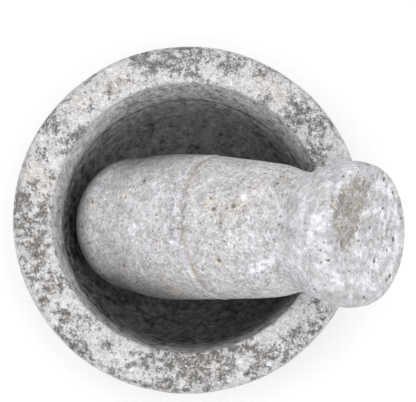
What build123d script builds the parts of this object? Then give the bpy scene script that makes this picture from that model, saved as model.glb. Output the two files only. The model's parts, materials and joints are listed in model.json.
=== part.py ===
from build123d import *
from math import atan2, cos, degrees, hypot, radians, sin
import os

# A stone mortar on three legs with its pestle leaning in it, in millimetres.
# The ground is z = 0. The origin is the middle of the base of the whole object's box, so the
# bowl's own axis stands a little to -X of it and the pestle's knob reaches out to +X.

# Bowl: rim and outside
bowl_x = -7.2            # where the bowl's axis stands
bowl_outer_r = 76.0
rim_height = 98.0
shoulder_round = 6.0     # outer edge of the rim
belly_centre_depth = 10.0  # the belly is a half ball that hangs from here

# Bowl: hollow
mouth_r = 58.7
mouth_round = 2.0        # inner edge of the rim
lip_r = 55.1             # where the tapered lip runs into the round hollow
lip_depth = 20.0
hollow_centre_depth = 10.0
hollow_r = hypot(lip_r, lip_depth - hollow_centre_depth)

# Legs
leg_count = 3
leg_first_angle = 30.0
foot_ring_r = 47.0
foot_r = 13.5
foot_round = 2.0
leg_top_ring_r = 39.0
leg_top_r = 19.0
leg_top_height = 44.0    # inside the wall of the bowl
leg_cover = 4.0          # stone left between the end of a leg and the hollow
leg_blend = 7.0

# Pestle, measured along its own axis from the tip of the grinding head
pestle_length = 149.6
head_length = 24.8
head_r = 29.6
body_profile = [(44.0, 31.4), (63.5, 31.5), (85.0, 30.0), (105.0, 27.9)]
neck = (121.5, 24.9)
knob_profile = [(132.0, 28.5), (141.0, 29.9)]
end_face_r = 28.0
end_round = 4.0

# How the pestle lies: its tip seen from the bowl's axis and the rim, then its lean and turn
tip_from_axis = (-42.75, 3.3)
tip_below_rim = 44.75
pestle_lean = 38.0       # up from the ground
pestle_turn = -8.4       # about +Z, from +X


def quarter_curve(centre, across, up, start_angle):
    """A quarter of an ellipse as a smooth curve, anticlockwise from start_angle."""
    angles = [radians(start_angle + step * 22.5) for step in range(5)]
    points = [(centre[0] + across * cos(a), centre[1] + up * sin(a)) for a in angles]
    ends = [(-across * sin(a), up * cos(a)) for a in (angles[0], angles[-1])]
    return Spline(*points, tangents=ends)


def arc_down(centre_height, radius, start_angle):
    """An arc about a point on the axis, from start_angle round to straight below it."""
    low = (0, centre_height - radius)
    half_way = radians((start_angle - 90) / 2)
    on_arc = (radius * cos(half_way), centre_height + radius * sin(half_way))
    start = (radius * cos(radians(start_angle)), centre_height + radius * sin(radians(start_angle)))
    return ThreePointArc(start, on_arc, low)


def bowl_section():
    """Half of the bowl cut through its axis: radius along X, height along Y."""
    belly_centre = rim_height - belly_centre_depth
    hollow_centre = rim_height - hollow_centre_depth
    lip_angle = degrees(atan2(hollow_centre_depth - lip_depth, lip_r))
    belly = arc_down(belly_centre, bowl_outer_r, 0)
    hollow = arc_down(hollow_centre, hollow_r, lip_angle)
    wall = Polyline(belly @ 0, (bowl_outer_r, rim_height), (mouth_r, rim_height), hollow @ 0)
    section = make_face([belly, wall, hollow, Line(hollow @ 1, belly @ 1)])
    for radius, turn in ((mouth_r, mouth_round), (bowl_outer_r, shoulder_round)):
        corner = section.vertices().filter_by(
            lambda point: abs(point.X - radius) < 0.01 and abs(point.Y - rim_height) < 0.01)
        section = fillet(corner, turn)
    return section


def leg(angle):
    foot = Location((foot_ring_r, 0, 0)) * Circle(foot_r)
    top = Location((leg_top_ring_r, 0, leg_top_height)) * Circle(leg_top_r)
    stub = loft([foot, top])
    stub = fillet(stub.edges().sort_by(Axis.Z)[0], foot_round)
    hollow_centre = Location((0, 0, rim_height - hollow_centre_depth))
    stub -= hollow_centre * Sphere(hollow_r + leg_cover)
    return Rotation(0, 0, angle) * stub


def legs_meet_belly(edge):
    """True for the curved joints between the legs and the belly."""
    box = edge.bounding_box()
    return box.min.Z > foot_round + 1 and box.max.Z < leg_top_height and box.size.Y > 1


def mortar_bowl():
    block = revolve(Plane.XZ * bowl_section(), Axis.Z)
    for number in range(leg_count):
        block += leg(leg_first_angle + number * 360 / leg_count)
    block = fillet(block.edges().filter_by(legs_meet_belly), leg_blend)
    return Location((bowl_x, 0, 0)) * block


def pestle():
    head = quarter_curve((head_length, 0), head_length, head_r, 90)
    flank = Spline((head_length, head_r), *body_profile, neck, *knob_profile,
                   (pestle_length, end_face_r), tangents=[(1, 0), (1, -0.35)])
    end = Polyline((pestle_length, end_face_r), (pestle_length, 0), (0, 0))
    section = make_face([head, flank, end])
    end_corner = section.vertices().sort_by(Axis.X)[-2:].sort_by(Axis.Y)[-1]
    stone = revolve(fillet(end_corner, end_round), Axis.X)
    tip = Location((bowl_x + tip_from_axis[0], tip_from_axis[1], rim_height - tip_below_rim))
    return tip * Rotation(0, 0, pestle_turn) * Rotation(0, -pestle_lean, 0) * stone


os.makedirs("parts", exist_ok=True)
for name, piece in (("mortar_bowl", mortar_bowl()), ("pestle", pestle())):
    export_step(piece, f"parts/{name}.step")
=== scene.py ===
import json
import math

import bpy
import numpy as np
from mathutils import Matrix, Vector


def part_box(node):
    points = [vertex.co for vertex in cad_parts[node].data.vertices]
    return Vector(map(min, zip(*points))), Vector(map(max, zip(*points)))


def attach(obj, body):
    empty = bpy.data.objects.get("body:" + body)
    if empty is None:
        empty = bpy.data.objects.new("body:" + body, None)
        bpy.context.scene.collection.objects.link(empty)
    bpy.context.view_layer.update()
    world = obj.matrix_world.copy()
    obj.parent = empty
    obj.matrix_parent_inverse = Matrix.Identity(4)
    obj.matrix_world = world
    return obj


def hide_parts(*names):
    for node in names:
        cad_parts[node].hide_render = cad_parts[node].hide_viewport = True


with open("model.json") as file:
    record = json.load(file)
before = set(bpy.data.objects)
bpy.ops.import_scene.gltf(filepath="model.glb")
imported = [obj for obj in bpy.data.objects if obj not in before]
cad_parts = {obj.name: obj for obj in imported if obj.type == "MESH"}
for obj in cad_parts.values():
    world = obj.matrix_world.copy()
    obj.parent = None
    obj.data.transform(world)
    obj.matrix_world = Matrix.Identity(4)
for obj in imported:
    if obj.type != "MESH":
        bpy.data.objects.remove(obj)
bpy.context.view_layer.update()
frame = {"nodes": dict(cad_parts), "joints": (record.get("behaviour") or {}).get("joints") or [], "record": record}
print("frame loaded:", sorted(frame["nodes"]))

# Shapes are worked out in millimetres from the bowl's own axis at ground level,
# and go into the meshes in metres.
millimetre = 0.001
bowlLow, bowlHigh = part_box("mortar_bowl")
axisPlace = frame["joints"][0]["pos_m"]
bowlOrigin = np.array([axisPlace[0], axisPlace[1], bowlLow.z])
rimHeight = (bowlHigh.z - bowlLow.z) / millimetre
outerRadius = (bowlHigh.x - bowlLow.x) / 2 / millimetre

bowl = {
    "shoulderRound": 6.0,      # outer edge of the rim
    "mouthRadius": 58.7,
    "mouthRound": 2.0,         # inner edge of the rim
    "lipRadius": 55.1,         # end of the tapered lip
    "lipDepth": 20.0,
    "ballDepth": 10.0,         # centre of the round belly and hollow, below the rim
    "footRing": 47.0,
    "footRadius": 13.5,
    "footRound": 2.0,
    "legTopRing": 39.0,
    "legTopRadius": 19.0,
    "legTopHeight": 44.0,
    "legBlend": 7.0,
    "columns": 512,
    "sink": 0.1,               # keeps the uneven outside within the solid
    "waviness": 0.45,          # slow unevenness of the chiselled outside
    "wavinessSize": 30.0,
    "rimWaviness": 0.35,       # share of it on the rim's top
    "chiselDepth": 0.42,
    "chiselSize": 6.0,
    "rimChisel": 0.15,
    "patchSize": 11.0,         # rough patches, where noise places them
    "patchAmount": 0.25,
    "patchSwing": 0.9,
    "patchFray": 0.38,
    "frayFineness": 3.2,
    "patchMost": 0.60,
    "spotStrength": 0.88,      # rough patches at the chosen places on the rim
    "spotSpread": 0.88,
    "pitDepth": 0.50,          # in the rough patches
    "pitSize": 1.8,
    "grooves": [(21.5, 1.2, 0.24), (27.0, 1.0, 0.12)],   # below the rim, width, depth
    "grooveWander": 1.6,
    "turnedDepth": 0.05,       # fine turned lines in the hollow
    "turnedSize": 1.7,
    "seed": 11,
}

pestle = {
    "length": 149.6,
    "headLength": 24.8,
    "headRadius": 29.6,
    "flank": [(44.0, 31.4), (63.5, 31.5), (85.0, 30.0), (105.0, 27.9), (121.5, 24.9),
              (132.0, 28.5), (141.0, 29.9)],
    "endRadius": 28.0,
    "endSlope": -0.35,
    "endRound": 4.0,
    "tipFromAxis": (-42.75, 3.3),
    "tipBelowRim": 44.75,
    "lean": 38.0,
    "turn": -8.4,
    "pits": [(88, 75, 1.0), (91, 84, 1.3), (100, 80, 1.6), (86, 80, 0.8), (106, 40, 0.8),
             (97, 110, 0.8), (93, 127, 1.3), (95, 95, 0.7), (96, 52, 0.9), (108, 52, 0.7),
             (63, 112, 0.8), (41, 135, 1.1), (40, 78, 0.7), (43, 78, 0.7), (50, 63, 1.1),
             (23, 82, 1.2)],   # station, angle round (90 is on top), size
    "stainSpread": 3.0,        # brown round each pit, in sizes of the pit
    "palePlaces": [(99, 103, 2.2), (112, 134, 3.2), (104, 71, 2.2), (121, 80, 2.8), (69, 101, 1.6),
                   (70, 112, 1.6), (38, 120, 3.0), (109, 93, 1.8), (51, 103, 3.4), (117, 129, 2.6),
                   (108, 136, 2.2), (56, 67, 2.2)],
    "endPatch": [(21, 4.2), (21.5, 13), (16.5, 20.5), (8, 28), (0, 27), (-7, 23), (-9, 17),
                 (-5.5, 10.6)],   # rough patch on the end face, corners across and up
    "endPits": [(1.5, -18, 1.7), (-13.5, -19, 1.4), (-15.5, -17, 1.2), (11, -22, 0.9), (20, -13, 1.3),
                (24, -5, 1.6), (-3.7, 7.1, 0.9), (-9.6, -6, 1.3), (2.8, 0.5, 0.9), (-25, -2, 1.5),
                (12.4, -7, 0.8), (-3.6, -14, 0.8)],   # across, up, size
    "columns": 368,
    "ridgeStation": 74.0,      # where the ground head meets the rougher shaft
    "ridgeSkew": -0.14,        # the ridge runs round a little askew
    "ridgeWander": 1.3,
    "ridgeSteps": [(-1.1, 0.9, 0.22), (0.9, 1.0, -0.55)],   # place past it, width, height
    "knobSpan": (120, 129),    # stations between which the finish changes to the knob's
    "paintedShadeSpan": (45, 80),       # stations between which the painted shade on the head's underside ends
    "fuller": (41, 18, 1.5),   # bulge on the head's near side: station, width, height
    "sink": 0.24,              # keeps the uneven surface within the solid
    "waviness": 0.16,
    "wavinessSize": 34.0,
    "wanderSize": 14.0,
    "roughSize": 3.4,
    "headRough": 0.06,
    "shaftRough": 0.12,        # more on the shaft
    "pitSize": 2.6,
    "pitDepth": 0.28,          # pits that noise places
    "chosenPitDepth": 0.45,
    "ringMiddle": 11,          # turned rings on the end face
    "ringSpacing": 10,
    "ringDepth": 0.07,
    "patchMost": 0.72,
    "patchDepth": 0.35,
    "seed": 47,
}

# Rough patches on the rim: direction in degrees, clockwise from +X as seen from above, then
# distance from the axis, size (both in millimetres) and strength.
rimPatches = [
    (38, 71, 4, 0.8), (48, 68, 5, 0.9), (54, 72, 4, 0.8), (61, 68, 5.5, 1.1),
    (67, 72, 5, 0.8), (75, 62, 5, 0.8), (76, 69, 5, 0.8), (85, 69, 5.5, 1.1),
    (91, 61, 6, 1.1), (91, 68, 4.5, 0.9), (97, 73, 4.5, 1.1), (98, 67, 4, 0.8),
    (99, 62, 4.5, 0.9), (107, 65, 5, 0.9), (116, 74, 3.5, 1.1), (122, 65, 4.5, 0.9),
    (132, 70, 4, 0.9), (134, 63, 4, 0.8), (140, 68, 5, 1.2), (149, 72, 3.5, 0.9),
    (152, 68, 3.5, 1.0), (153, 62, 6, 0.8), (159, 71, 4, 1.0), (167, 66, 7.5, 1.1),
    (176, 70, 7, 1.1), (178, 62, 4, 0.8), (185, 71, 5.5, 1.0), (184, 61, 4, 0.9),
    (192, 68, 3.5, 0.9), (197, 61, 3, 0.9), (202, 69, 4, 0.9), (209, 61, 4, 0.8),
    (214, 71, 5.5, 1.1), (217, 60, 4.5, 1.1), (228, 64, 3.5, 0.9), (238, 64, 4, 0.8),
    (246, 66, 4, 0.5), (253, 73, 5.5, 1.1), (258, 67, 5.5, 1.0), (263, 72, 4.5, 1.0),
    (267, 66, 5, 1.0), (274, 71, 5, 1.1), (273, 62, 4, 0.9), (286, 70, 7, 1.1),
    (297, 71, 4, 0.8), (304, 61, 4, 0.7), (315, 69, 6, 1.1), (318, 63, 6, 1.0),
    (325, 70, 6.5, 1.1), (334, 61, 7, 1.2), (64, 62, 3.5, 0.8), (70, 61, 4.5, 0.9),
    (80, 62, 4.5, 0.8), (86, 61, 4.5, 0.9), (104, 61, 3.5, 0.8), (112, 69, 3, 0.8),
    (128, 72, 3.5, 0.8), (33, 66, 4, 0.8), (44, 72, 3.5, 0.8),
]
# Faintly brown places on the rim, given in the same way.
warmPlaces = [
    (62, 68, 6, 0.5), (84, 63, 8, 0.6), (110, 62, 6, 0.4), (154, 66, 7, 0.5), (167, 66, 8, 0.8),
    (196, 68, 7, 0.5), (215, 68, 7, 0.4), (228, 67, 8, 0.6), (240, 66, 8, 0.7), (249, 64, 6, 0.4),
    (291, 66, 6, 0.5), (301, 65, 7, 0.8), (309, 66, 7, 0.7), (319, 66, 7, 0.7), (330, 70, 6, 0.3),
]


# The bell curve: 1 at the middle, falling off on both sides over the given width.
def bell(value, middle, width):
    return np.exp(-((value - middle) / width) ** 2)


# Gradient noise: every corner of a cubic lattice has a random slope. A point takes the
# eight slopes round it, each times the point's offset from that corner, eased together.
def gradientNoise(points, size, seed):
    latticeSide = 32
    slopes = np.random.default_rng(seed).normal(size=(latticeSide, latticeSide, latticeSide, 3))
    slopes /= np.linalg.norm(slopes, axis=-1, keepdims=True)
    cell = points / size
    corner = np.floor(cell).astype(int)
    inside = cell - corner
    ease = inside ** 3 * (inside * (inside * 6 - 15) + 10)
    total = np.zeros(len(points))
    for step in np.ndindex(2, 2, 2):
        step = np.array(step)
        index = (corner + step) % latticeSide
        slope = slopes[index[:, 0], index[:, 1], index[:, 2]]
        weight = np.prod(np.where(step == 1, ease, 1 - ease), axis=1)
        total += weight * np.sum(slope * (inside - step), axis=1)
    return total * 1.6                       # stays within about -1 and 1


# Rough noise: gradient noise added to itself, each time at half the size and about half
# the weight, and turned so that the lattices don't line up.
def roughNoise(points, size, octaves, seed):
    shape = points.shape[:-1]
    flat = points.reshape(-1, 3)
    turn = np.array([[0.36, 0.48, -0.80], [-0.80, 0.60, 0.00], [0.48, 0.64, 0.60]])
    total, weight, whole = 0, 1.0, 0.0
    fading = 0.55                            # weight of each octave, as a share of the last
    for octave in range(octaves):
        flat = flat @ turn
        total = total + weight * gradientNoise(flat, size / 2 ** octave, seed + octave)
        whole += weight
        weight *= fading
    return (total / whole ** 0.5).reshape(shape)


def smoothStep(low, high, value):
    t = np.clip((value - low) / (high - low), 0, 1)
    return t * t * (3 - 2 * t)


# Stations from start up to, but without, end, no further apart than spacing.
def stations(start, end, spacing):
    count = max(1, math.ceil(abs(end - start) / spacing))
    return np.linspace(start, end, count, endpoint=False)


# Outward directions of a grid: the step round it crossed with the step along it.
# A pole takes the mean of the row beside it.
def gridNormals(grid):
    along = np.gradient(grid, axis=0)
    around = np.roll(grid, -1, axis=1) - np.roll(grid, 1, axis=1)
    normals = np.cross(around, along)
    normals[0] = normals[1].mean(axis=0)
    normals[-1] = normals[-2].mean(axis=0)
    return normals / np.linalg.norm(normals, axis=-1, keepdims=True)


# A closed skin over a grid. Rows run from pole to pole and columns go round, so each cell
# is a quad, and a fan of triangles closes each pole.
def skinMesh(name, grid, values, material):
    rows, columns = grid.shape[:2]
    points = np.vstack([grid[:1, 0], grid[1:-1].reshape(-1, 3), grid[-1:, 0]])
    here = 1 + np.arange((rows - 2) * columns).reshape(rows - 2, columns)
    beside = np.roll(here, -1, axis=1)
    quads = np.stack([here[:-1], beside[:-1], beside[1:], here[1:]], axis=-1).reshape(-1, 4)
    first = np.stack([np.zeros(columns, int), beside[0], here[0]], axis=-1)
    last = np.stack([here[-1], beside[-1], np.full(columns, len(points) - 1)], axis=-1)
    mesh = bpy.data.meshes.new(name)
    mesh.from_pydata((points * millimetre + bowlOrigin).tolist(), [],
                     first.tolist() + quads.tolist() + last.tolist())
    for label, field in values.items():
        flat = np.concatenate([field[:1, 0], field[1:-1].ravel(), field[-1:, 0]])
        layer = mesh.attributes.new(label, "FLOAT", "POINT")
        layer.data.foreach_set("value", flat.astype(np.float32))
    mesh.shade_smooth()
    mesh.materials.append(material)
    piece = bpy.data.objects.new(name, mesh)
    bpy.context.scene.collection.objects.link(piece)
    print(name, "has", len(mesh.polygons), "faces")
    return piece


# The bowl's outline from the lowest point of the belly, up the outside, over the rim and
# down the hollow: radius and height of each station, and the distance walked so far.
def bowlOutline():
    b = bowl
    centre = rimHeight - b["ballDepth"]
    hollowRadius = math.hypot(b["lipRadius"], b["lipDepth"] - b["ballDepth"])
    taper = math.atan2(b["mouthRadius"] - b["lipRadius"], b["lipDepth"])
    belly = np.radians(np.concatenate([      # degrees from straight down, finer at the legs
        stations(0, 9, 1.5), stations(9, 62, 0.70), stations(62, 90, 1.15)]))
    shoulder = np.radians(stations(0, 90, 6))
    roundTop = rimHeight - b["shoulderRound"]
    mouthCentre = (b["mouthRadius"] - math.tan(taper) * b["mouthRound"]
                   + b["mouthRound"] / math.cos(taper))
    mouth = np.radians(stations(90, 180 - math.degrees(taper), 16))
    wall = stations(centre, roundTop, 1.0)
    top = stations(outerRadius - b["shoulderRound"], mouthCentre, 0.62)
    depth = stations(b["mouthRound"], b["lipDepth"], 1.5)
    lipAngle = -math.asin((b["lipDepth"] - b["ballDepth"]) / hollowRadius)
    hollow = np.append(stations(lipAngle, -math.pi / 2, 0.043), -math.pi / 2)
    radius = np.concatenate([
        outerRadius * np.sin(belly),
        np.full(len(wall), outerRadius),
        outerRadius + b["shoulderRound"] * (np.cos(shoulder) - 1),
        top,
        mouthCentre + b["mouthRound"] * np.cos(mouth),
        b["mouthRadius"] - depth * math.tan(taper),
        hollowRadius * np.cos(hollow)])
    height = np.concatenate([
        centre - outerRadius * np.cos(belly),
        wall,
        roundTop + b["shoulderRound"] * np.sin(shoulder),
        np.full(len(top), rimHeight),
        rimHeight + b["mouthRound"] * (np.sin(mouth) - 1),
        rimHeight - depth,
        centre + hollowRadius * np.sin(hollow)])
    radius[0] = radius[-1] = 0
    walked = np.concatenate([[0], np.cumsum(np.hypot(np.diff(radius), np.diff(height)))])
    inside = np.zeros(len(radius), bool)
    inside[len(radius) - len(hollow) - len(depth):] = True
    return radius, height, walked, inside


def legAngles():
    spots = [mount["pos_m"] for mount in frame["record"]["mounts"]]
    return [math.atan2(p[1] - bowlOrigin[1], p[0] - bowlOrigin[0]) for p in spots]


# How far a point is outside the belly and a leg together, with the leg on the +X side. The
# leg is a cone that leans in as it rises, with a flat rounded foot. Where leg and belly
# meet, the corner is filled by an arc: the larger of the arc's radius and the nearer
# distance, less the length of what each distance falls short of that radius.
def outsideDistance(points):
    b = bowl
    x, y, z = points[..., 0], points[..., 1], points[..., 2]
    ball = np.sqrt(x ** 2 + y ** 2 + (z - (rimHeight - b["ballDepth"])) ** 2) - outerRadius
    rise = z / b["legTopHeight"]
    ring = b["footRing"] + (b["legTopRing"] - b["footRing"]) * rise
    radius = b["footRadius"] + (b["legTopRadius"] - b["footRadius"]) * rise
    side = np.hypot(x - ring, y) - radius
    turn = b["footRound"]
    over = np.hypot(np.maximum(side + turn, 0), np.maximum(turn - z, 0)) - turn
    leg = np.where((side > -turn) & (z < turn), over, np.maximum(side, -z))
    blend = b["legBlend"]
    short = np.hypot(np.maximum(blend - ball, 0), np.maximum(blend - leg, 0))
    return np.maximum(np.minimum(ball, leg), blend) - short


# Pulls the belly's points down into one leg. A point at distance d round the ball from the
# leg's middle goes to the foot, then up the leg's side as d grows, then back to the belly:
# d up to footEdge is the flat foot, up to sideStart its round edge, up to sideEnd the side.
# A few steps along the slope of outsideDistance then settle it on the true surface.
def drawLeg(grid, angle):
    b = bowl
    centreHeight = rimHeight - b["ballDepth"]
    lean = (b["legTopRing"] - b["footRing"]) / b["legTopHeight"]
    square = 1 + lean ** 2               # where the leg's axis meets the ball
    half = b["footRing"] * lean - centreHeight
    rest = b["footRing"] ** 2 + centreHeight ** 2 - outerRadius ** 2
    middleHeight = (-half - math.sqrt(half ** 2 - square * rest)) / square
    middleTilt = math.acos((centreHeight - middleHeight) / outerRadius)
    footEdge, sideStart, sideEnd, outerEdge = 9.0, 11.5, 24.0, 34.0
    meetingHeight, meetingSwing = 24.5, 11.5    # the belly is higher on the leg's outer side
    nudge, leastSlope, settlingSteps = 0.01, 0.2, 12
    across = np.stack([np.cos(angle) * grid[..., 0] + np.sin(angle) * grid[..., 1],
                       np.cos(angle) * grid[..., 1] - np.sin(angle) * grid[..., 0],
                       grid[..., 2] - centreHeight], axis=-1) / outerRadius
    toLeg = np.array([math.sin(middleTilt), 0, -math.cos(middleTilt)])
    outward = np.array([math.cos(middleTilt), 0, math.sin(middleTilt)])
    d = outerRadius * np.arccos(np.clip(across @ toLeg, -1, 1))
    near = (d < outerEdge) & (grid[..., 2] < rimHeight - 2 * b["shoulderRound"])
    near &= np.hypot(grid[..., 0], grid[..., 1]) > 0.01
    d, across = d[near], across[near]
    heading = np.arctan2(across[:, 1], across @ outward)
    footRim = b["footRadius"] - b["footRound"]
    bend = np.clip((d - footEdge) / (sideStart - footEdge), 0, 1) * math.pi / 2
    meeting = meetingHeight + meetingSwing * np.cos(heading)
    climb = np.clip((d - sideStart) / (sideEnd - sideStart), 0, 1)
    rise = (b["footRound"] + climb * (meeting - b["footRound"])) / b["legTopHeight"]
    reach = np.where(d < footEdge, footRim * d / footEdge, footRim + b["footRound"] * np.sin(bend))
    spread = (b["legTopRadius"] - b["footRadius"]) * rise
    reach = np.where(d > sideStart, b["footRadius"] + spread, reach)
    height = np.where(d > sideStart, rise * b["legTopHeight"], b["footRound"] * (1 - np.cos(bend)))
    ring = b["footRing"] + (b["legTopRing"] - b["footRing"]) * height / b["legTopHeight"]
    leg = np.stack([ring + reach * np.cos(heading), reach * np.sin(heading), height], axis=-1)
    back = smoothStep(sideEnd - 2, outerEdge, d)[:, None]
    ball = across * outerRadius + np.array([0, 0, centreHeight])
    drawn = leg * (1 - back) + ball * back
    for _ in range(settlingSteps):
        far = outsideDistance(drawn)
        slope = np.stack([(outsideDistance(drawn + nudge * step) - far) / nudge
                          for step in np.eye(3)], axis=-1)
        drawn = drawn - (far / np.maximum((slope ** 2).sum(-1), leastSlope))[:, None] * slope
    x = drawn[:, 0] * math.cos(angle) - drawn[:, 1] * math.sin(angle)
    y = drawn[:, 0] * math.sin(angle) + drawn[:, 1] * math.cos(angle)
    grid[near] = np.stack([x, y, drawn[:, 2]], axis=-1)
    return grid


# A heap of soft spots on the rim, each falling off as the bell curve.
def rimSpots(grid, spots, spread):
    radius = np.hypot(grid[..., 0], grid[..., 1])
    angle = np.arctan2(grid[..., 1], grid[..., 0])
    narrower = 0.8                           # a spot is narrower across the rim than along it
    total = np.zeros(radius.shape)
    for direction, ring, size, strength in spots:
        away = np.angle(np.exp(1j * (angle + math.radians(direction)))) * ring
        total += strength * bell(away, 0, size * spread) * bell(radius, ring, size * spread * narrower)
    return total


# Rough patches, 0 to about 1: on the rim a heap of soft spots at the chosen places, broken
# up by noise, and on the outside and along the rim's outer edge noise alone.
def bowlPatches(grid, inside):
    b = bowl
    radius = np.hypot(grid[..., 0], grid[..., 1])
    depth = rimHeight - grid[..., 2]
    onRim = smoothStep(9, 3, depth)
    rimEdge = bell(radius, outerRadius - 1.4, 1.1)
    coarse = roughNoise(grid, b["patchSize"], 3, b["seed"])
    fine = roughNoise(grid, b["frayFineness"], 3, b["seed"] + 20)
    byChance = b["patchAmount"] + b["patchSwing"] * coarse
    chosen = b["spotStrength"] * rimSpots(grid, rimPatches, b["spotSpread"]) + 0.18 * coarse
    patches = onRim * (chosen + rimEdge * byChance) + (1 - onRim) * byChance + b["patchFray"] * fine
    patches = b["patchMost"] * np.tanh(patches / b["patchMost"])
    return np.where(inside[:, None], patches * (1 - smoothStep(0, 14, depth)), patches)


# The outline turned round the axis, with the legs drawn out of it, then lifted along its
# outward directions: chisel marks, waves and pits outside, and turned rings in the hollow.
def buildBowl(material):
    b = bowl
    radius, height, walked, inside = bowlOutline()
    angle = np.linspace(0, 2 * math.pi, b["columns"], endpoint=False)
    grid = np.stack([radius[:, None] * np.cos(angle), radius[:, None] * np.sin(angle),
                     np.repeat(height[:, None], b["columns"], axis=1)], axis=-1)
    for legAngle in legAngles():
        grid = drawLeg(grid, legAngle)
    normals = gridNormals(grid)
    patches = bowlPatches(grid, inside)
    depth = rimHeight - grid[..., 2]
    hollow = np.where(inside[:, None], smoothStep(0, 6, depth), 0)
    foot = 1 - smoothStep(0.2, 2.5, grid[..., 2])
    outside = (1 - hollow) * (1 - foot)
    below = smoothStep(3, 12, depth)         # the rim's top stays flatter than the side
    slow = roughNoise(grid, b["wavinessSize"], 2, b["seed"] + 40)
    chisel = roughNoise(grid, b["chiselSize"], 3, b["seed"] + 50)
    pits = smoothStep(0.35, 0.95, patches) * (0.6 + 0.4 * roughNoise(grid, b["pitSize"], 2, b["seed"] + 60))
    waves = b["waviness"] * slow * (b["rimWaviness"] + (1 - b["rimWaviness"]) * below)
    marks = b["chiselDepth"] * smoothStep(-0.2, 0.8, chisel)
    marks *= b["rimChisel"] + (1 - b["rimChisel"]) * below
    lift = outside * (waves - b["sink"] - marks - b["pitDepth"] * pits)
    wandering = depth + b["grooveWander"] * slow
    groove = sum(cut * bell(wandering, down, width) for down, width, cut in b["grooves"])
    stretched = np.stack([walked[:, None] * np.ones_like(depth),
                          grid[..., 0] * 0.05, grid[..., 1] * 0.05], axis=-1)
    turned = roughNoise(stretched, b["turnedSize"], 2, b["seed"] + 70)
    lift -= hollow * (groove + b["turnedDepth"] * (1 + turned))
    grid = grid + normals * lift[..., None]
    grid[..., 2] = np.maximum(grid[..., 2], 0)
    values = {
        "patch": patches,
        "warmth": rimSpots(grid, warmPlaces, 1.0),
        "depth": np.where(inside[:, None], depth, 0),
        "along": np.repeat(walked[:, None], b["columns"], axis=1) * millimetre,
    }
    return skinMesh("mortar_bowl_stone", grid, values, material)


# A smooth curve through the given points: on each span a cubic that leaves and arrives
# with the slopes at its ends. Inner slopes are those of a parabola through three points.
def smoothThrough(points, startSlope, endSlope, at):
    x, y = np.array(points, float).T
    slopes = np.gradient(y, x)
    slopes[0], slopes[-1] = startSlope, endSlope
    span = np.clip(np.searchsorted(x, at, side="right") - 1, 0, len(x) - 2)
    width = x[span + 1] - x[span]
    t = (at - x[span]) / width
    return (y[span] * (1 + 2 * t) * (1 - t) ** 2 + slopes[span] * width * t * (1 - t) ** 2
            + y[span + 1] * t ** 2 * (3 - 2 * t) + slopes[span + 1] * width * t ** 2 * (t - 1))


# The pestle's outline from the tip of the head: an ellipse, a smooth flank, an arc and the
# flat end. Gives station and radius.
def pestleOutline():
    p = pestle
    dome = np.radians(stations(0, 90, 1.7))
    steep = math.hypot(1, p["endSlope"])
    arcStation = p["length"] - p["endRound"]
    arcRadius = p["endRadius"] - p["endSlope"] * p["endRound"] - p["endRound"] * steep
    arcStart = math.atan2(1, -p["endSlope"])
    arc = stations(arcStart, 0, 0.12)
    flankEnd = arcStation + p["endRound"] * math.cos(arcStart)
    plain, fine = 0.80, 0.48                 # spacing of the stations, finer beside the ridge
    fineStart, fineEnd = p["ridgeStation"] - 9, p["ridgeStation"] + 9
    flank = np.concatenate([stations(p["headLength"], fineStart, plain),
                            stations(fineStart, fineEnd, fine), stations(fineEnd, flankEnd, plain)])
    knots = [(p["headLength"], p["headRadius"]), *p["flank"], (p["length"], p["endRadius"])]
    face = np.append(stations(arcRadius, 0, 0.75), 0)
    station = np.concatenate([
        p["headLength"] * (1 - np.cos(dome)), flank,
        arcStation + p["endRound"] * np.cos(arc), np.full(len(face), p["length"])])
    radius = np.concatenate([
        p["headRadius"] * np.sin(dome), smoothThrough(knots, 0, p["endSlope"], flank),
        arcRadius + p["endRound"] * np.sin(arc), face])
    return station, radius


# Points of the pestle as it lies: along its axis by station, and round it by angle, with
# angle 90 degrees on the upper side.
def placePestle(station, across, up):
    p = pestle
    lean, turn = math.radians(p["lean"]), math.radians(p["turn"])
    axis = np.array([math.cos(lean) * math.cos(turn), math.cos(lean) * math.sin(turn), math.sin(lean)])
    side = np.array([-math.sin(turn), math.cos(turn), 0])
    top = np.cross(axis, side)
    tip = np.array([*p["tipFromAxis"], rimHeight - p["tipBelowRim"]])
    return tip + station[..., None] * axis + across[..., None] * side + up[..., None] * top


# How far a point is inside a convex outline: its least distance to the left of each side.
def insideCorners(x, y, corners):
    ends = corners[1:] + corners[:1]
    return np.min([((endX - startX) * (y - startY) - (endY - startY) * (x - startX))
                   / math.hypot(endX - startX, endY - startY)
                   for (startX, startY), (endX, endY) in zip(corners, ends)], axis=0)


# A heap of soft round spots, each as high as 1, on the side of the pestle.
def pestleSpots(spots, station, radius, angle, spread=1.0):
    total = np.zeros(station.shape)
    for middle, direction, size in spots:
        away = np.angle(np.exp(1j * (angle - math.radians(direction)))) * radius
        total += bell(station, middle, size * spread) * bell(away, 0, size * spread)
    return total


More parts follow.
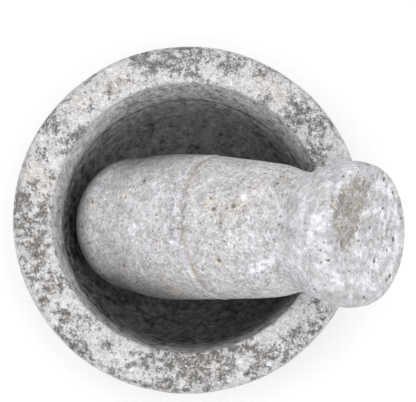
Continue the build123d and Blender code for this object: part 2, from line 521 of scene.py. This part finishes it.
# The outline turned round its axis and laid in the bowl, then lifted along its outward
# directions: waves, roughness and pits, the ridge, and rings and a rough patch on the end.
def buildPestle(material):
    p = pestle
    station, radius = pestleOutline()
    angle = np.linspace(0, 2 * math.pi, p["columns"], endpoint=False)
    stationGrid = np.repeat(station[:, None], p["columns"], axis=1)
    across, up = radius[:, None] * np.cos(angle), radius[:, None] * np.sin(angle)
    grid = placePestle(stationGrid, across, up)
    own = np.stack([across, up, stationGrid], axis=-1)
    normals = gridNormals(grid)
    slow = roughNoise(own, p["wavinessSize"], 2, p["seed"])
    wander = roughNoise(own, p["wanderSize"], 2, p["seed"] + 5)
    rough = roughNoise(own, p["roughSize"], 3, p["seed"] + 10)
    pits = smoothStep(0.55, 1.0, roughNoise(own, p["pitSize"], 2, p["seed"] + 20))
    chosen = pestleSpots(p["pits"], stationGrid, radius[:, None], angle)
    stained = pestleSpots(p["pits"], stationGrid, radius[:, None], angle, p["stainSpread"])
    pale = pestleSpots(p["palePlaces"], stationGrid, radius[:, None], angle)
    endFace = smoothStep(p["length"] - 5, p["length"] - 1, stationGrid)
    for acrossPit, upPit, size in p["endPits"]:
        chosen += endFace * bell(across, acrossPit, size) * bell(up, upPit, size)
    past = stationGrid - p["ridgeStation"] - p["ridgeSkew"] * across - p["ridgeWander"] * wander
    shaft = smoothStep(-1.5, 1.5, past)
    lift = -p["sink"] - p["waviness"] * slow
    for middle, width, height in p["ridgeSteps"]:
        lift = lift + height * bell(past, middle, width)
    middle, width, height = p["fuller"]
    lift += height * bell(stationGrid, middle, width) * smoothStep(0.55, 0.95, -np.cos(angle))
    lift -= (p["headRough"] + p["shaftRough"] * shaft) * smoothStep(-0.3, 0.9, rough)
    lift -= p["pitDepth"] * pits * (0.5 + 0.5 * shaft) + p["chosenPitDepth"] * np.minimum(chosen, 1)
    fromMiddle = np.hypot(across, up) - p["ringMiddle"]
    rings = np.cos(fromMiddle * 2 * math.pi / p["ringSpacing"] + 0.8 * wander)
    lift -= p["ringDepth"] * endFace * (1 + rings)
    patch = 0.5 + 0.15 * insideCorners(across, up, p["endPatch"]) + 0.18 * rough + 0.12 * wander
    patch = np.clip(patch, 0, p["patchMost"]) * endFace
    lift -= p["patchDepth"] * patch * (0.7 + 0.3 * rough)
    grid = grid + normals * lift[..., None]
    # Painted shade on the head's downward-facing side, kept in the attribute low.
    paintedShadeSide = smoothStep(0.8, 0.2, normals[..., 2])
    walked = np.concatenate([[0], np.cumsum(np.hypot(np.diff(station), np.diff(radius)))])
    values = {
        "shaft": shaft,
        "ridge": bell(past, 1.8, 2.4),
        "edge": bell(past, -1.2, 1.0),
        "knob": smoothStep(*p["knobSpan"], stationGrid),
        "low": paintedShadeSide * (1 - smoothStep(*p["paintedShadeSpan"], stationGrid)),
        "pits": chosen,
        "stained": stained,
        "pale": pale,
        "rings": endFace * (0.5 + 0.5 * rings),
        "arris": bell(stationGrid, p["length"] - 2.5, 2.5),
        "patch": patch,
        "along": np.repeat(walked[:, None], p["columns"], axis=1) * millimetre,
    }
    return skinMesh("pestle_stone", grid, values, material)


def addNode(tree, kind, **settings):
    made = tree.nodes.new(kind)
    for label, value in settings.items():
        setattr(made, label, value)
    return made


def feed(tree, socket, value):
    if isinstance(value, bpy.types.NodeSocket):
        tree.links.new(value, socket)
    else:
        socket.default_value = value


def maths(tree, operation, a, b):
    made = addNode(tree, "ShaderNodeMath", operation=operation)
    feed(tree, made.inputs[0], a)
    feed(tree, made.inputs[1], b)
    return made.outputs[0]


def times(tree, a, b):
    return maths(tree, "MULTIPLY", a, b)


def less(tree, a, b):
    return maths(tree, "SUBTRACT", a, b)


# A value carried smoothly from one range to another, and held at the ends.
def remap(tree, value, low, high, toLow=0.0, toHigh=1.0):
    made = addNode(tree, "ShaderNodeMapRange", interpolation_type="SMOOTHSTEP")
    feed(tree, made.inputs["Value"], value)
    for label, number in (("From Min", low), ("From Max", high), ("To Min", toLow), ("To Max", toHigh)):
        feed(tree, made.inputs[label], number)
    return made.outputs["Result"]


# How far a noise is from its middle, times an amount.
def swing(tree, value, amount):
    return times(tree, less(tree, value, 0.5), amount)


def addUp(tree, first, *others):
    for other in others:
        first = maths(tree, "ADD", first, other)
    return first


def mixColour(tree, factor, a, b):
    made = addNode(tree, "ShaderNodeMix", data_type="RGBA")
    for index, value in ((0, factor), (6, a), (7, b)):
        feed(tree, made.inputs[index], value)
    return made.outputs[2]


# One colour laid over another where a mask says, and no more than the given amount.
def layOver(tree, under, over, mask, most):
    return mixColour(tree, times(tree, mask, most), under, over)


def brighten(tree, colour, factor):
    made = addNode(tree, "ShaderNodeVectorMath", operation="SCALE")
    feed(tree, made.inputs[0], colour)
    feed(tree, made.inputs["Scale"], factor)
    return made.outputs[0]


def separate(tree, vector):
    made = addNode(tree, "ShaderNodeSeparateXYZ")
    feed(tree, made.inputs[0], vector)
    return made.outputs


def noise(tree, place, scale, seed, detail=2.0, roughness=0.55):
    made = addNode(tree, "ShaderNodeTexNoise", noise_dimensions="4D")
    feed(tree, made.inputs["Vector"], place)
    feed(tree, made.inputs["Scale"], scale)
    made.inputs["W"].default_value = seed
    made.inputs["Detail"].default_value = detail
    made.inputs["Roughness"].default_value = roughness
    return made.outputs["Fac"]


def newGroup(name, inputs, outputs):
    group = bpy.data.node_groups.new(name, "ShaderNodeTree")
    for label, value in inputs.items():
        kind = "NodeSocketVector" if value is None else "NodeSocketFloat"
        socket = group.interface.new_socket(label, in_out="INPUT", socket_type=kind)
        if value is not None:
            socket.default_value = value
    for label in outputs:
        group.interface.new_socket(label, in_out="OUTPUT", socket_type="NodeSocketFloat")
    return group, group.nodes.new("NodeGroupInput").outputs, group.nodes.new("NodeGroupOutput").inputs


# Mineral grain. Tone is about 1 and scales a colour: crystals of three sizes, each swinging
# it by its own amount. Fleck marks pale crystals, Pit marks dark holes, which gather, and
# Height is the relief of the crystals less the holes.
def makeGrainGroup():
    gatherScale, gatherAmount = 75.0, 0.35   # holes gather where this noise is high
    crystalShare = 0.55                      # scale of single crystals, of the fine scale
    group, given, result = newGroup(
        "mineralGrain",
        {"Place": None, "Fine Scale": 1100.0, "Fine Amount": 1.0, "Middle Scale": 420.0,
         "Middle Amount": 0.7, "Broad Scale": 110.0, "Broad Amount": 0.4,
         "Fleck Level": 0.62, "Pit Level": 0.66},
        ["Tone", "Fleck", "Pit", "Height"])
    place = given["Place"]
    fine = noise(group, place, given["Fine Scale"], seed=1.3, detail=3.0, roughness=0.7)
    middle = noise(group, place, given["Middle Scale"], seed=2.1)
    broad = noise(group, place, given["Broad Scale"], seed=3.7)
    tone = addUp(group, 1.0, swing(group, fine, given["Fine Amount"]),
                 swing(group, middle, given["Middle Amount"]),
                 swing(group, broad, given["Broad Amount"]))
    crystalScale = times(group, given["Fine Scale"], crystalShare)
    gather = swing(group, noise(group, place, gatherScale, seed=4.4), gatherAmount)
    crystals = addUp(group, noise(group, place, crystalScale, seed=5.2), times(group, gather, -0.6))
    holes = addUp(group, noise(group, place, crystalScale, seed=6.9, detail=1.0), gather)
    pit = remap(group, less(group, holes, given["Pit Level"]), 0.0, 0.06)
    relief = times(group, addUp(group, fine, middle), 0.6)
    feed(group, result["Tone"], tone)
    feed(group, result["Fleck"], remap(group, less(group, crystals, given["Fleck Level"]), 0.0, 0.07))
    feed(group, result["Pit"], pit)
    feed(group, result["Height"], less(group, relief, times(group, pit, 0.5)))
    return group


# Rough patches: an amount from the mesh, frayed by two noises, so that patches have crisp
# speckled edges and pale grains left inside. Dark marks the deepest holes in them, and
# Shade is a soft tint that reaches a little past their edges.
def makePatchGroup():
    group, given, result = newGroup(
        "roughPatch", {"Place": None, "Amount": 0.0, "Fray": 2.3, "Speckle": 2.7, "Level": 0.45},
        ["Mask", "Dark", "Shade"])
    place, level = given["Place"], given["Level"]
    wide = swing(group, noise(group, place, 380.0, seed=1.9, detail=3.0, roughness=0.6), given["Fray"])
    grains = noise(group, place, 950.0, seed=2.8, detail=3.0, roughness=0.75)
    holes = noise(group, place, 1000.0, seed=3.6, roughness=0.7)
    soft = addUp(group, given["Amount"], wide)
    frayed = less(group, addUp(group, soft, swing(group, grains, given["Speckle"])), level)
    deeper = less(group, addUp(group, soft, swing(group, holes, given["Speckle"])), level)
    feed(group, result["Mask"], remap(group, frayed, -0.12, 0.16))
    feed(group, result["Dark"], remap(group, deeper, 0.02, 0.34))
    feed(group, result["Shade"], remap(group, soft, 0.05, 0.60))
    return group


# Turned lines: noise that changes quickly along the outline and slowly round the piece.
def makeLinesGroup():
    group, given, result = newGroup(
        "turnedLines", {"Place": None, "Along": 0.0, "Line Scale": 700.0, "Wander": 30.0}, ["Lines"])
    parts = separate(group, given["Place"])
    joined = addNode(group, "ShaderNodeCombineXYZ")
    feed(group, joined.inputs[0], times(group, given["Along"], given["Line Scale"]))
    feed(group, joined.inputs[1], times(group, parts[0], given["Wander"]))
    feed(group, joined.inputs[2], times(group, parts[1], given["Wander"]))
    feed(group, result["Lines"],
         noise(group, joined.outputs[0], 1.0, seed=1.1, detail=3.0, roughness=0.6))
    return group


def useGroup(tree, group, values):
    made = addNode(tree, "ShaderNodeGroup", node_tree=group)
    for label, value in values.items():
        feed(tree, made.inputs[label], value)
    return made.outputs


def attribute(tree, name):
    return addNode(tree, "ShaderNodeAttribute", attribute_name=name).outputs["Fac"]


# Greys along a value: stops are (value, colour) from low to high.
def colourAlong(tree, value, stops):
    low, high = stops[0][0], stops[-1][0]
    ramp = addNode(tree, "ShaderNodeValToRGB")
    feed(tree, ramp.inputs[0], maths(tree, "DIVIDE", less(tree, value, low), high - low))
    while len(ramp.color_ramp.elements) < len(stops):
        ramp.color_ramp.elements.new(1.0)
    for element, (at, colour) in zip(ramp.color_ramp.elements, stops):
        element.position = (at - low) / (high - low)
        element.color = colour
    return ramp.outputs["Color"]


def startMaterial(name):
    material = bpy.data.materials.new(name)
    material.use_nodes = True
    tree = material.node_tree
    tree.nodes.clear()
    shader = addNode(tree, "ShaderNodeBsdfPrincipled")
    output = addNode(tree, "ShaderNodeOutputMaterial")
    tree.links.new(shader.outputs[0], output.inputs[0])
    shader.inputs["Specular IOR Level"].default_value = 0.35
    return material, tree, shader


def objectPlace(tree):
    return addNode(tree, "ShaderNodeTexCoord").outputs["Object"]


def addBump(tree, shader, height, look):
    bump = addNode(tree, "ShaderNodeBump")
    feed(tree, bump.inputs["Height"], height)
    bump.inputs["Distance"].default_value = look["bumpDistance"]
    bump.inputs["Strength"].default_value = look["bumpStrength"]
    feed(tree, shader.inputs["Normal"], bump.outputs[0])


bowlLook = {
    "light": (0.522, 0.516, 0.528, 1),     # worn pale skin of the rim
    "warm": (0.512, 0.488, 0.464, 1),      # faintly brown places
    "patch": (0.222, 0.210, 0.194, 1),     # open rough stone, browner in front
    "greyPatch": (0.198, 0.200, 0.203, 1),
    "hole": (0.088, 0.083, 0.078, 1),
    "rust": (0.56, 0.50, 0.44, 1),         # brownish grains among the holes
    "fleck": (0.80, 0.80, 0.80, 1),
    "inside": [                            # down the hollow: depth below the rim in mm, colour
        (0, (0.45, 0.45, 0.458, 1)), (8, (0.375, 0.375, 0.383, 1)), (16, (0.315, 0.315, 0.322, 1)),
        (19.0, (0.26, 0.26, 0.265, 1)), (20.7, (0.125, 0.125, 0.129, 1)),
        (22.4, (0.25, 0.25, 0.255, 1)), (25, (0.15, 0.15, 0.154, 1)),
        (32, (0.100, 0.100, 0.104, 1)), (46, (0.095, 0.095, 0.097, 1)),
        (66, (0.092, 0.092, 0.092, 1))],
    "grain": {"Fine Scale": 1000.0, "Fine Amount": 1.7, "Middle Amount": 1.0, "Broad Amount": 0.5,
              "Fleck Level": 0.60, "Pit Level": 0.70},
    "lines": {"Line Scale": 420.0, "Wander": 28.0},
    "fleckMost": 0.45,                     # how strongly each colour is laid over the skin
    "shadeMost": 0.12,
    "patchMost": 0.84,
    "holeMost": 0.74,
    "rustMost": 0.75,
    "rustLeast": 0.15,                     # where the stone is grey
    "pitMost": 0.7,
    "insidePatchMost": 0.5,
    "tintSwing": 2.5,
    "linesFray": 2.2,                      # how far the hollow's bands wander, in mm
    "broadFray": 7.0,
    "broadSwing": 2.2,                     # mottling of the hollow, coarse to fine
    "cloudSwing": 2.2,
    "speckSwing": 3.6,
    "streakSwing": 0.7,
    "paintedLightBack": 0.4,                       # painted light: the hollow is lighter at the back, which faces the lamp
    "paintedLightLeftLip": 0.34,                       # and painted light on the lip on the -X side
    "paintedShadeLeftDeep": -0.45,                     # and painted shade below it
    "lipRoughness": 0.85,
    "deepRoughness": 0.70,
    "bumpDistance": 0.0005,
    "bumpStrength": 0.8,
}

pestleLook = {
    "body": (0.474, 0.466, 0.478, 1),
    "warm": (0.48, 0.455, 0.425, 1),
    "fleck": (0.78, 0.78, 0.80, 1),
    "pit": (0.12, 0.11, 0.10, 1),
    "brown": (0.43, 0.385, 0.33, 1),       # round the pits
    "stain": (0.33, 0.30, 0.26, 1),        # along the ridge
    "knob": (0.59, 0.589, 0.63, 1),
    "pale": (0.70, 0.70, 0.735, 1),
    "patch": (0.43, 0.41, 0.382, 1),
    "patchHole": (0.24, 0.226, 0.205, 1),
    "grain": {"Fine Scale": 1100.0, "Middle Amount": 1.25, "Broad Amount": 0.8, "Fleck Level": 0.61},
    "lines": {"Line Scale": 520.0, "Wander": 16.0},
    "endPatch": {"Fray": 1.0, "Speckle": 1.6, "Level": 0.5},
    "fineAmount": 2.15,
    "knobFineChange": -0.9,                # the knob's grain is calmer
    "pitLevels": (0.71, 0.67),             # on the head and on the shaft: lower gives more pits
    "arrisPitChange": 0.05,                # more of them along the knob's edge
    "warmMost": 0.8,
    "brownMost": 0.6,
    "whiteLeast": 0.25,                    # whiter clouds all over,
    "whiteKnob": 0.75,                     # and this much more of them on the knob
    "ridgeMost": 0.72,
    "crestRange": (0.2, 0.9),
    "ringMost": 0.85,
    "paleMost": 0.75,
    "fleckMost": 0.6,
    "patchMost": 0.9,
    "patchHoleMost": 0.8,
    "grainPitMost": 0.68,
    "chosenPitMost": 0.88,
    "lineSwing": 0.15,                     # turned lines on the knob
    "paintedShadeLow": 0.60,                      # painted shade: the head is darker low down
    "roughnessRange": (0.90, 0.74),
    "bumpDistance": 0.0004,
    "bumpStrength": 0.7,
}


def makeBowlMaterial(grainGroup, patchGroup, linesGroup):
    look = bowlLook
    material, tree, shader = startMaterial("bowlStone")
    place = objectPlace(tree)
    grain = useGroup(tree, grainGroup, {"Place": place, **look["grain"]})
    patch = useGroup(tree, patchGroup, {"Place": place, "Amount": attribute(tree, "patch")})
    depth = attribute(tree, "depth")
    parts = separate(tree, place)
    toBack = remap(tree, parts[1], -0.01, 0.06)
    tint = noise(tree, place, 38.0, seed=9.3)
    warmth = addUp(tree, attribute(tree, "warmth"), swing(tree, tint, look["tintSwing"]))
    skin = mixColour(tree, remap(tree, warmth, 0.1, 0.9), look["light"], look["warm"])
    skin = layOver(tree, skin, look["fleck"], grain["Fleck"], look["fleckMost"])
    greyer = less(tree, toBack, times(tree, warmth, 0.8))
    openStone = mixColour(tree, greyer, look["patch"], look["greyPatch"])
    skin = layOver(tree, skin, look["patch"], patch["Shade"], look["shadeMost"])
    skin = layOver(tree, skin, openStone, patch["Mask"], look["patchMost"])
    skin = layOver(tree, skin, look["hole"], patch["Dark"], look["holeMost"])
    rustGrains = remap(tree, noise(tree, place, 620.0, seed=4.9), 0.56, 0.66)
    rustMost = remap(tree, warmth, -0.3, 1.0, look["rustLeast"], look["rustMost"])
    skin = layOver(tree, skin, look["rust"], times(tree, rustGrains, patch["Shade"]), rustMost)
    skin = layOver(tree, skin, look["hole"], grain["Pit"], look["pitMost"])
    outer = brighten(tree, skin, grain["Tone"])

    lines = useGroup(tree, linesGroup, {"Place": place, "Along": attribute(tree, "along"),
                                        **look["lines"]})["Lines"]
    broad = noise(tree, place, 110.0, seed=8.2, detail=3.0, roughness=0.65)
    cloud = noise(tree, place, 260.0, seed=7.1, roughness=0.6)
    speck = noise(tree, place, 480.0, seed=5.8, detail=3.0, roughness=0.75)
    frayed = addUp(tree, depth, swing(tree, lines, look["linesFray"]),
                   swing(tree, broad, look["broadFray"]))
    mottle = addUp(tree, swing(tree, broad, look["broadSwing"]),
                   swing(tree, cloud, look["cloudSwing"]), swing(tree, speck, look["speckSwing"]))
    streak = swing(tree, lines, look["streakSwing"])
    # Painted light on the hollow's back wall, and on the -X side painted light on the lip and painted shade below
    # it.
    paintedBackLight = remap(tree, parts[1], -0.02, 0.05, 0.0, look["paintedLightBack"])
    paintedLeftByDepth = remap(tree, depth, 15.0, 21.0, look["paintedLightLeftLip"], look["paintedShadeLeftDeep"])
    paintedLeftLightAndShade = times(tree, remap(tree, parts[0], -0.035, -0.065), paintedLeftByDepth)
    inner = brighten(tree, colourAlong(tree, frayed, look["inside"]),
                     addUp(tree, grain["Tone"], mottle, streak, paintedBackLight, paintedLeftLightAndShade))
    inner = layOver(tree, inner, look["hole"], patch["Mask"], look["insidePatchMost"])
    toLip = remap(tree, depth, 0.0, 4.0)
    feed(tree, shader.inputs["Base Color"], mixColour(tree, toLip, outer, inner))
    feed(tree, shader.inputs["Roughness"],
         remap(tree, depth, 2.0, 22.0, look["lipRoughness"], look["deepRoughness"]))

    relief = less(tree, grain["Height"], times(tree, patch["Mask"], 0.5))
    turned = addUp(tree, times(tree, lines, 0.22), times(tree, grain["Height"], 0.3))
    height = addUp(tree, times(tree, relief, less(tree, 1.0, toLip)), times(tree, turned, toLip))
    addBump(tree, shader, height, look)
    return material


def makePestleMaterial(grainGroup, patchGroup, linesGroup):
    look = pestleLook
    material, tree, shader = startMaterial("pestleStone")
    place = objectPlace(tree)
    shaft, knob = attribute(tree, "shaft"), attribute(tree, "knob")
    arris = times(tree, attribute(tree, "arris"), look["arrisPitChange"])
    grain = useGroup(tree, grainGroup, {
        "Place": place, **look["grain"],
        "Fine Amount": addUp(tree, look["fineAmount"], times(tree, knob, look["knobFineChange"])),
        "Pit Level": less(tree, remap(tree, shaft, 0.0, 1.0, *look["pitLevels"]), arris)})
    patch = useGroup(tree, patchGroup, {"Place": place, "Amount": attribute(tree, "patch"),
                                        **look["endPatch"]})
    lines = useGroup(tree, linesGroup, {"Place": place, "Along": attribute(tree, "along"),
                                        **look["lines"]})["Lines"]
    tint = noise(tree, place, 42.0, seed=7.7)
    cloud = noise(tree, place, 170.0, seed=8.8, detail=3.0, roughness=0.6)

    warmth = remap(tree, tint, 0.55, 0.70, 0.0, look["warmMost"])
    lessOnKnob = addUp(tree, 1.0, times(tree, knob, -0.8))
    colour = layOver(tree, look["body"], look["warm"], warmth, lessOnKnob)
    stained = addUp(tree, attribute(tree, "stained"), swing(tree, cloud, 3.0))
    colour = layOver(tree, colour, look["brown"], remap(tree, stained, 0.30, 1.0), look["brownMost"])
    whiter = addUp(tree, look["whiteLeast"], times(tree, knob, look["whiteKnob"]))
    colour = layOver(tree, colour, look["knob"], remap(tree, cloud, 0.46, 0.60), whiter)
    ridge = times(tree, attribute(tree, "ridge"), remap(tree, cloud, 0.34, 0.54))
    colour = layOver(tree, colour, look["stain"], ridge, look["ridgeMost"])
    crest = remap(tree, cloud, 0.30, 0.52, *look["crestRange"])
    colour = layOver(tree, colour, look["knob"], attribute(tree, "edge"), crest)
    pale = addUp(tree, attribute(tree, "pale"), times(tree, attribute(tree, "rings"), look["ringMost"]),
                 swing(tree, cloud, 2.4), swing(tree, lines, 0.5))
    colour = layOver(tree, colour, look["pale"], remap(tree, pale, 0.45, 0.95), look["paleMost"])
    colour = layOver(tree, colour, look["fleck"], grain["Fleck"], look["fleckMost"])
    colour = layOver(tree, colour, look["patch"], patch["Mask"], look["patchMost"])
    colour = layOver(tree, colour, look["patchHole"], patch["Dark"], look["patchHoleMost"])
    chosen = addUp(tree, attribute(tree, "pits"), swing(tree, cloud, 0.8))
    dark = maths(tree, "MAXIMUM", times(tree, grain["Pit"], look["grainPitMost"]),
                 remap(tree, chosen, 0.42, 0.85, 0.0, look["chosenPitMost"]))
    colour = mixColour(tree, dark, colour, look["pit"])

    tone = addUp(tree, grain["Tone"], swing(tree, lines, times(tree, knob, look["lineSwing"])))
    # Painted shade on the head's downward side.
    paintedShadeFactor = less(tree, 1.0, times(tree, attribute(tree, "low"), look["paintedShadeLow"]))
    colour = brighten(tree, colour, times(tree, tone, paintedShadeFactor))
    feed(tree, shader.inputs["Base Color"], colour)
    feed(tree, shader.inputs["Roughness"], remap(tree, grain["Tone"], 0.7, 1.3, *look["roughnessRange"]))
    height = addUp(tree, grain["Height"], times(tree, lines, 0.3))
    addBump(tree, shader, height, look)
    return material


view = {
    "aim": (0.0087, 0.0065),       # where the camera looks, from the bowl's axis at the rim
    "distance": 0.70,
    "elevation": 82.0,
    "lens": 140.5,
    "skyStrength": 0.75,
    "lampPlace": (0.0, -0.12, 1.10),
    "lampSize": 1.2,
    "lampPower": 8.5,
    "floorHalf": 4.0,
    "floorTone": 0.95,
}


def buildStage():
    half = view["floorHalf"]
    mesh = bpy.data.meshes.new("floor")
    mesh.from_pydata([(-half, -half, 0), (half, -half, 0), (half, half, 0), (-half, half, 0)], [],
                     [(0, 1, 2, 3)])
    floor = bpy.data.objects.new("floor", mesh)
    bpy.context.scene.collection.objects.link(floor)
    material, _, shader = startMaterial("plainFloor")
    shader.inputs["Base Color"].default_value = (view["floorTone"],) * 3 + (1,)
    shader.inputs["Roughness"].default_value = 0.9
    mesh.materials.append(material)

    world = bpy.data.worlds.new("softSky")
    bpy.context.scene.world = world
    world.use_nodes = True
    sky = world.node_tree.nodes["Background"]
    sky.inputs["Color"].default_value = (1, 1, 1, 1)
    sky.inputs["Strength"].default_value = view["skyStrength"]

    lamp = bpy.data.lights.new("overhead", "AREA")
    lamp.shape = "DISK"
    lamp.size = view["lampSize"]
    lamp.energy = view["lampPower"]
    holder = bpy.data.objects.new("overhead", lamp)
    holder.location = view["lampPlace"]
    toward = bowlOrigin - np.array(view["lampPlace"])
    holder.rotation_euler = (math.atan2(toward[1], -toward[2]), 0, 0)
    bpy.context.scene.collection.objects.link(holder)
    bpy.context.scene.view_settings.view_transform = "Standard"


def buildCamera():
    tilt = math.radians(90 - view["elevation"])
    lens = bpy.data.cameras.new("camera")
    lens.lens = view["lens"]
    lens.clip_start = 0.02
    eye = bpy.data.objects.new("camera", lens)
    rise = rimHeight * millimetre
    back, above = view["distance"] * math.sin(tilt), view["distance"] * math.cos(tilt)
    eye.location = bowlOrigin + (view["aim"][0], view["aim"][1] - back, rise + above)
    eye.rotation_euler = (tilt, 0, 0)
    bpy.context.scene.collection.objects.link(eye)
    bpy.context.scene.camera = eye


buildCamera()
buildStage()
print("camera, floor and light are in place")

grainGroup, patchGroup, linesGroup = makeGrainGroup(), makePatchGroup(), makeLinesGroup()

bowlPiece = buildBowl(makeBowlMaterial(grainGroup, patchGroup, linesGroup))
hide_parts("mortar_bowl")
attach(bowlPiece, "mortar")

pestlePiece = buildPestle(makePestleMaterial(grainGroup, patchGroup, linesGroup))
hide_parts("pestle")
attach(pestlePiece, "pestle")
print("bowl and pestle are on their bodies")
